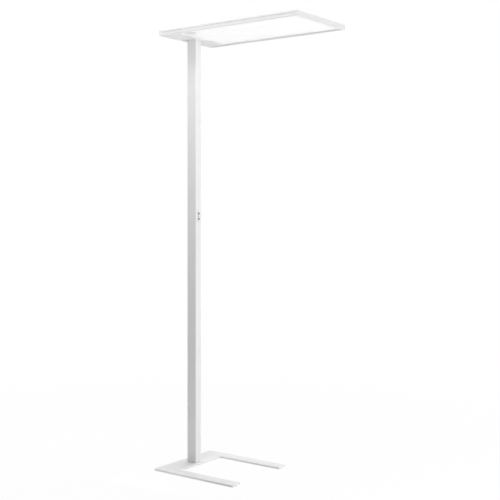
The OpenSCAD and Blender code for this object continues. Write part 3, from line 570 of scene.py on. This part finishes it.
def key(side, which):
    """One key and its inlay: the upper one at side 1, the lower one at side -1."""
    low, high = box_mm("key_" + which)
    middle = frame_mid + side * (key_height + keys_apart) / 2
    half_y, half_z = key_width / 2, key_height / 2
    cap = stock(
        "key_" + which + "_moulded", (flange_x, -half_y, middle - half_z),
        (high[0], half_y, middle + half_z),
    )
    round_corners(cap, 1, 4, crossways)
    flange = stock(
        "flange", (flange_x, -half_y - flange_reach, middle - half_z + flange_short),
        (flange_x + flange_thick, half_y + flange_reach, middle + half_z - flange_short),
    )
    stem = turned("stem", [(stem_radius, 0), (stem_radius, flange_x + 0.5 - low[0])], 24)
    weld(cap, flange, at_each(stem, [(low[0], 0, middle)], (0, 90, 0)))
    hollow_x = high[0] + hollow_radius - hollow_depth
    hollow = turned("hollow", [(hollow_radius, middle - 20), (hollow_radius, middle + 20)], 720)
    cut_away(cap, at_each(hollow, [(hollow_x, 0, 0)]))
    inlay_low, inlay_high = box_mm("key_dot_" + which)
    inlay_r = (inlay_high[1] - inlay_low[1]) / 2
    inlay_z = inlay_low[2] + inlay_r
    seat = turned("seat", [(inlay_r + 0.05, 0), (inlay_r + 0.05, 2)], 48)
    cut_away(cap, at_each(seat, [(inlay_low[0], 0, inlay_z)], (0, 90, 0)))
    break_edges(cap, 0.3, 3)
    bpy.ops.object.shade_smooth_by_angle(angle=math.radians(30))
    fit(cap, "key_" + which, white_moulding, which + "_key")
    thick = inlay_high[0] - inlay_low[0]
    dot = turned(
        "key_dot_" + which + "_inlay",
        [(inlay_r, 0), (inlay_r, thick - 0.12), (inlay_r - 0.1, thick),
         (inlay_r * 0.65, thick - 0.05), (inlay_r * 0.3, thick - 0.08)],
        48,
    )
    dot = at_each(dot, [(inlay_low[0], 0, inlay_z)], (0, 90, 0))
    fit(dot, "key_dot_" + which, dark_inlay, which + "_key")


key(1, "upper")
key(-1, "lower")

# Behind the keys: a black moulded housing clipped into the post, whose black makes the split
# between the keys show dark, a green board with two black switches, and the grey moulded
# plungers that the keys push.
board_green = surface("green_board", (0.03, 0.16, 0.07), 0.35, 1.2, 0.02, 0.12)
grey_moulding = surface("grey_moulded_plastic", (0.45, 0.45, 0.46), 0.42, 0.25, 0.006, 0.03)
dress("control_housing", black_moulding)
dress("control_board", board_green)
for side_name in ("upper", "lower"):
    dress("switch_" + side_name, black_moulding)
    dress("plunger_" + side_name, grey_moulding)

# Top block and bracket: an aluminium block in the post's top, and the zinc-plated steel
# bracket that is bolted on it and carries the two side rails.
dress("top_block", milled)
for steel_node in ("head_bracket", "bracket_bolts", "bracket_screws", "cover_spacers"):
    dress(steel_node, zinc)

# Side rails: two aluminium extrusions, powder coated white. Each has a lip below on which
# the panel lies, a shadow groove along its outer face, a chamfer below it, and ledges inside.
edge_cut = 3.5
rail_wall = 2
lip_width, lip_height = 10, 6.5
shelf_level, shelf_top, shelf_width = 12, 13.6, 12
groove_level, groove_top, groove_depth = 13.2, 15.8, 3.2
groove_back, groove_back_top = 2.2, 17
ledge_level, cover_level, ledge_width = 19, 20.5, 6
rail_levels = (
    lip_height, shelf_level, groove_level, shelf_top, groove_top, groove_back_top, ledge_level,
    cover_level,
)


def chamfer_lower_edge(piece, outer, floor_z):
    """Cuts the piece's lower edge along X at that side."""
    return round_corners(
        piece, edge_cut, 1,
        lambda m, d: abs(d.x) > 0.9 and abs(m.y - outer) < 0.1 and abs(m.z - floor_z) < 0.1,
    )


def side_rail(name, node, side):
    """A rail at side 1 or -1: a bar of the wall's thickness, from which the rest is drawn."""
    low, high = box_mm(node)
    floor_z = low[2]
    outer = high[1] if side > 0 else low[1]
    inner = outer - side * rail_wall
    rail = stock(
        name, (low[0], min(outer, inner), floor_z), (high[0], max(outer, inner), high[2])
    )
    take(rail, "FACE", lambda m, n: True)
    for level in rail_levels:
        bpy.ops.mesh.select_all(action="SELECT")
        bpy.ops.mesh.bisect(plane_co=(0, 0, (floor_z + level) * MM), plane_no=(0, 0, 1))

    def pull(bottom, top, inside, depth):
        """Draws the inner or outer faces between two levels inwards."""
        wanted = -side if inside else side
        take(
            rail, "FACE",
            lambda m, n: n.y * wanted > 0.9 and bottom < m.z - floor_z < top,
        )
        bpy.ops.mesh.extrude_region_move(
            TRANSFORM_OT_translate={"value": (0, -side * depth * MM, 0)}
        )

    pull(0, lip_height, True, lip_width - rail_wall)
    pull(shelf_level, groove_back_top, True, groove_back)
    pull(shelf_level, shelf_top, True, shelf_width - groove_back)
    pull(ledge_level, cover_level, True, ledge_width)
    pull(groove_level, groove_top, False, groove_depth)
    bpy.ops.mesh.select_all(action="SELECT")
    bpy.ops.mesh.dissolve_limited(angle_limit=math.radians(1))
    bpy.ops.mesh.normals_make_consistent(inside=False)
    done(rail)
    chamfer_lower_edge(rail, outer, floor_z)
    break_edges(rail, 0.3, 3)
    fit(rail, node, coated_aluminium)


side_rail("side_rail_near_coated", "side_rail_near", -1)
side_rail("side_rail_far_coated", "side_rail_far", 1)

# End caps: folded and welded aluminium caps, coated with the rails. The one by the post has
# short cheeks that carry on the rails' faces; the one at the free end is a plain bar.
rail_low, rail_high = box_mm("side_rail_near")
rail_x0, rail_x1, head_z, top_z = rail_low[0], rail_high[0], rail_low[2], rail_high[2]
half_w = box_mm("side_rail_far")[1][1]
lip_z, ledge_z, cover_z = head_z + lip_height, head_z + ledge_level, head_z + cover_level
cap_wall, seat_gap = 3, 0.1
low, high = box_mm("end_cap_post")
cap_inside = low[0] + cap_wall
cap_post = stock("end_cap_post_coated", (low[0], -half_w, head_z), (cap_inside, half_w, top_z))
weld(
    cap_post,
    stock("foot", (low[0], -half_w, head_z), (rail_x0, half_w, head_z + cap_wall)),
    stock("ledge", (low[0], -half_w, ledge_z), (cap_inside + ledge_width, half_w, cover_z)),
    stock("cheek", (low[0], -half_w, head_z), (rail_x0, -half_w + cap_wall, top_z)),
    stock("cheek", (low[0], half_w - cap_wall, head_z), (rail_x0, half_w, top_z)),
    stock("boss", (low[0], -half_w, head_z), (rail_x0, -half_w + lip_width, lip_z)),
    stock("boss", (low[0], half_w - lip_width, head_z), (rail_x0, half_w, lip_z)),
)
cover_room_y = half_w - rail_wall
cut_away(
    cap_post,
    stock(
        "cover_room", (cap_inside, -cover_room_y, cover_z), (rail_x0 + 1, cover_room_y, top_z + 1)
    ),
)
for outer in (-half_w, half_w):
    chamfer_lower_edge(cap_post, outer, head_z)
break_edges(cap_post, 0.3, 3)
cap_post_x = low[0]
low, high = box_mm("end_cap_free")
cap_free = stock("end_cap_free_coated", (rail_x1, -half_w, head_z), high)
lip_end = half_w - lip_width - seat_gap
ledge_end = half_w - rail_wall - ledge_width - seat_gap
cap_inside = rail_x1 + seat_gap
weld(
    cap_free,
    stock("lip", (high[0] - lip_width, -lip_end, head_z), (cap_inside, lip_end, lip_z)),
    stock("ledge", (low[0], -ledge_end, ledge_z), (cap_inside, ledge_end, cover_z)),
)
for outer in (-half_w, half_w):
    chamfer_lower_edge(cap_free, outer, head_z)
break_edges(cap_free, 0.3, 3)
cap_screw_z, cap_screw_y = head_z + lip_height / 2, half_w - 5
post_end = [(cap_post_x, y, cap_screw_z) for y in (-cap_screw_y, cap_screw_y)]
free_end = [(high[0], y, cap_screw_z) for y in (-cap_screw_y, cap_screw_y)]
sunk_head, sunk_shank, sunk_depth = 2.38, 1.3, 1.08
hole = sunk_hole(sunk_head, sunk_shank, sunk_depth, 15)
cut_away(cap_post, at_each(hole, post_end, (0, -90, 0)))
hole = sunk_hole(sunk_head, sunk_shank, sunk_depth, 15)
cut_away(cap_free, at_each(hole, free_end, (0, 90, 0)))
fit(cap_post, "end_cap_post", coated_aluminium)
fit(cap_free, "end_cap_free", coated_aluminium)

# End cap screws: small white countersunk screws, two in each cap, driven into the ends of
# the rails' lips.
white_enamel = surface("white_enamelled_screws", (0.78, 0.78, 0.78), 0.32, 0.3, 0.004, 0.02)
small_socket, small_socket_depth = 0.95, 0.9


def small_screws(name, length, places, turn):
    """White countersunk screws of that length in mm."""
    rings = [(2.2, 0), (2.28, -0.08), (1.2, -1.08), (1.2, -length)]
    return screw(name, rings, small_socket, small_socket_depth, places, turn)


cap_screws = small_screws("cap_screws_post_end", 26, post_end, (0, -90, 0))
other_screws = small_screws("cap_screws_free_end", 26, free_end, (0, 90, 0))
bpy.ops.object.select_all(action="DESELECT")
other_screws.select_set(True)
cap_screws.select_set(True)
bpy.context.view_layer.objects.active = cap_screws
bpy.ops.object.join()
cap_screws.name = "end_cap_screws_white"
fit(cap_screws, "end_cap_screws", white_enamel)

# Cross bar: the bar at the edge of the blank cover, screwed between the rails, with a
# ledge on which the panel's edge lies.
low, high = box_mm("cross_bar")
bar_wall, cover_recess, panel_ledge_level, joint_gap = 2, 3, 4.9, 0.3
bar_x1, bar_z, panel_ledge_z = low[0] + bar_wall, head_z + cover_recess, head_z + panel_ledge_level
web_y = half_w - rail_wall - shelf_width - joint_gap
under_shelf_z = head_z + shelf_level - seat_gap
sensor_low, sensor_high = box_mm("sensor_box")
bar = stock("cross_bar_coated", (low[0], -lip_end, bar_z), (bar_x1, lip_end, under_shelf_z))
weld(
    bar,
    stock("web", (low[0], -web_y, bar_z), (bar_x1, web_y, high[2])),
    stock(
        "ledge", (low[0], sensor_high[1] + joint_gap, panel_ledge_z), (high[0], lip_end, lip_z)
    ),
)
break_edges(bar, 0.2)
fit(bar, "cross_bar", coated_aluminium)

# Bay cover: the blank white sheet round the post, with an opening that follows the post and
# four countersunk screws from below.
low, high = box_mm("bay_cover")
cover = stock("bay_cover_coated", low, high)
break_edges(cover, 0.2)
post_low, post_high = box_mm("post_tube")
opening = stock(
    "opening", (post_low[0] - joint_gap, post_low[1] - joint_gap, low[2] - 1),
    (post_high[0] + joint_gap, post_high[1] + joint_gap, high[2] + 1),
)
round_corners(opening, 2.3, 5, upright)
bay_screw_x, bay_screw_y = 22, (-120, -50, 50, 120)
bay_screw_places = [(bay_screw_x, y, low[2]) for y in bay_screw_y]
hole = sunk_hole(sunk_head, sunk_shank, sunk_depth, 3)
cut_away(cover, opening, at_each(hole, bay_screw_places, (180, 0, 0)))
fit(cover, "bay_cover", coated_aluminium)
bay_screws = small_screws("bay_cover_screws_white", 8, bay_screw_places, (180, 0, 0))
fit(bay_screws, "bay_cover_screws", white_enamel)

# Sensor box: a small white moulded box in the corner by the cover, set level with it, with a
# round hole for the sensor's dome and ledges that carry the panel's cut-out corner.
corner_ledge = 3
tray_high = (sensor_high[0] - corner_ledge, sensor_high[1] - corner_ledge, sensor_high[2])
tray = stock("sensor_box_moulded", sensor_low, tray_high)
weld(
    tray,
    stock(
        "ledge", (sensor_low[0], sensor_low[1], panel_ledge_z),
        (sensor_high[0], sensor_high[1], lip_z),
    ),
)
dome_low, dome_high = box_mm("sensor_dome")
dome_x = (dome_low[0] + dome_high[0]) / 2
dome_y = (dome_low[1] + dome_high[1]) / 2
tray_wall = 1.6
dome_radius, dome_height, dome_play = 9, 5, 0.1
seat_radius = dome_radius + dome_play
dome_seat = turned("dome_seat", [(seat_radius, -1), (seat_radius, 3)], 48)
cut_away(
    tray,
    stock(
        "inside", [v + tray_wall for v in sensor_low],
        (tray_high[0] - tray_wall, tray_high[1] - tray_wall, tray_high[2] + 1),
    ),
    at_each(dome_seat, [(dome_x, dome_y, sensor_low[2])]),
)
break_edges(tray, 0.2)
fit(tray, "sensor_box", white_moulding)

# Sensor dome: a moulded lens of milky plastic with rings of small facets, held by a flange
# inside the box. Its finish carries a faint painted glow.
milky = surface("milky_lens_plastic_painted_glow", (0.9, 0.9, 0.89), 0.22, 0.4, 0.004, 0.01)
milky_painted_glow_inputs = milky.node_tree.nodes["Principled BSDF"].inputs
milky_painted_glow_inputs["Coat Weight"].default_value = 0.3
# Painted glow: the lens is no lamp, and this faint emission makes it lighter than the shade round
# it.
milky_painted_glow_inputs["Emission Color"].default_value = (1, 1, 1, 1)
milky_painted_glow_inputs["Emission Strength"].default_value = 0.08
dome_flange, dome_flange_thick = 11, 1.2
ball = (dome_radius**2 + dome_height**2) / (2 * dome_height)
rings = [
    (dome_flange, tray_wall + dome_flange_thick), (dome_flange, tray_wall),
    (dome_radius, tray_wall), (dome_radius, 0),
]
rim_angle = math.asin(dome_radius / ball)
for step in (0.8, 0.6, 0.4, 0.2, 0.08):
    angle = rim_angle * step
    rings.append((ball * math.sin(angle), ball - dome_height - ball * math.cos(angle)))
dome = turned("sensor_dome_lens", rings, 24)
take(dome, "FACE", lambda m, n: m.z < -0.2)
bpy.ops.mesh.inset(thickness=0.12 * MM, depth=-0.1 * MM, use_individual=True)
done(dome)
bpy.ops.object.shade_smooth_by_angle(angle=math.radians(12))
dome = at_each(dome, [(dome_x, dome_y, sensor_low[2])])
fit(dome, "sensor_dome", milky)
dress("sensor_board", board_green)

# Light panel: an opal sheet with a fine prism pattern on its lower face lies in the frame.
# Above it are a clear guide, lit from its long edges, and a white reflector.
opal = surface("opal_prism_sheet", (0.86, 0.86, 0.855), 0.2, 0.5, 0.002, 0.004)
nodes = opal.node_tree.nodes
links = opal.node_tree.links
prism_pitch, prism_relief = 1.8, 0.05
prism = nodes.new("ShaderNodeTexVoronoi")
prism.inputs["Scale"].default_value = 1 / (prism_pitch * MM)
prism.inputs["Randomness"].default_value = 0
prism_bump = nodes.new("ShaderNodeBump")
prism_bump.inputs["Strength"].default_value = 0.25
prism_bump.inputs["Distance"].default_value = prism_relief * MM
links.new(nodes["Mapping"].outputs[0], prism.inputs["Vector"])
links.new(prism.outputs["Distance"], prism_bump.inputs["Height"])
links.new(nodes["Bump"].outputs[0], prism_bump.inputs["Normal"])
links.new(prism_bump.outputs[0], nodes["Principled BSDF"].inputs["Normal"])
nodes["Principled BSDF"].inputs["Emission Color"].default_value = (1, 1, 1, 1)
nodes["Principled BSDF"].inputs["Emission Strength"].default_value = 0.13
low, high = box_mm("downlight_diffuser")
panel = stock("downlight_diffuser_sheet", low, high)
corner = (tray_high[0] + joint_gap, tray_high[1] + joint_gap, high[2] + 1)
cut_away(panel, stock("corner", (low[0] - 1, low[1] - 1, low[2] - 1), corner))
break_edges(panel, 0.15)
fit(panel, "downlight_diffuser", opal)
clear = surface("clear_acrylic", (0.93, 0.95, 0.96), 0.06, 2.0, 0.002, 0.005)
clear_skin = clear.node_tree.nodes["Principled BSDF"].inputs
clear_skin["Transmission Weight"].default_value = 0.9
clear_skin["IOR"].default_value = 1.49
white_film = surface("white_reflector_film", (0.93, 0.93, 0.93), 0.6, 0.5, 0.004, 0.005)
board_white = surface("white_board", (0.78, 0.80, 0.78), 0.4, 1.0, 0.01, 0.03)
dress("light_guide", clear)
dress("reflector_sheet", white_film)
for board_node in ("led_strip_near", "led_strip_far", "uplight_boards"):
    dress(board_node, board_white)

# Heat plate, driver and top of the head: an aluminium plate that carries the upper boards,
# the driver in its white case, an opal pane and the coated top cover with its window.
dress("heat_plate", milled)
dress("driver", white_moulding)
low, high = box_mm("uplight_pane")
pane = stock("uplight_pane_opal", low, high)
break_edges(pane, 0.2)
upper_opal = surface("opal_pane", (0.9, 0.9, 0.895), 0.3, 0.6, 0.004, 0.006)
fit(pane, "uplight_pane", upper_opal)
overlap = 8
window_low = (low[0] + overlap, low[1] + overlap)
window_high = (high[0] - overlap, high[1] - overlap)
low, high = box_mm("top_cover")
top_cover = stock("top_cover_coated", low, high)
cut_away(top_cover, stock("window", (*window_low, low[2] - 1), (*window_high, high[2] + 1)))
break_edges(top_cover, 0.25)
screw_rows, from_end, cover_screw_y = 4, 30, half_w - 5.6
screw_pitch = (rail_x1 - rail_x0 - 2 * from_end) / (screw_rows - 1)
cover_screw_places = [
    (rail_x0 + from_end + i * screw_pitch, y, high[2])
    for i in range(screw_rows) for y in (-cover_screw_y, cover_screw_y)
]
hole = sunk_hole(sunk_head, sunk_shank, sunk_depth, 3)
cut_away(top_cover, at_each(hole, cover_screw_places))
fit(top_cover, "top_cover", coated_aluminium)
cover_screws = small_screws("top_cover_screws_white", 3.8, cover_screw_places, (0, 0, 0))
fit(cover_screws, "top_cover_screws", white_enamel)

low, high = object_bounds()
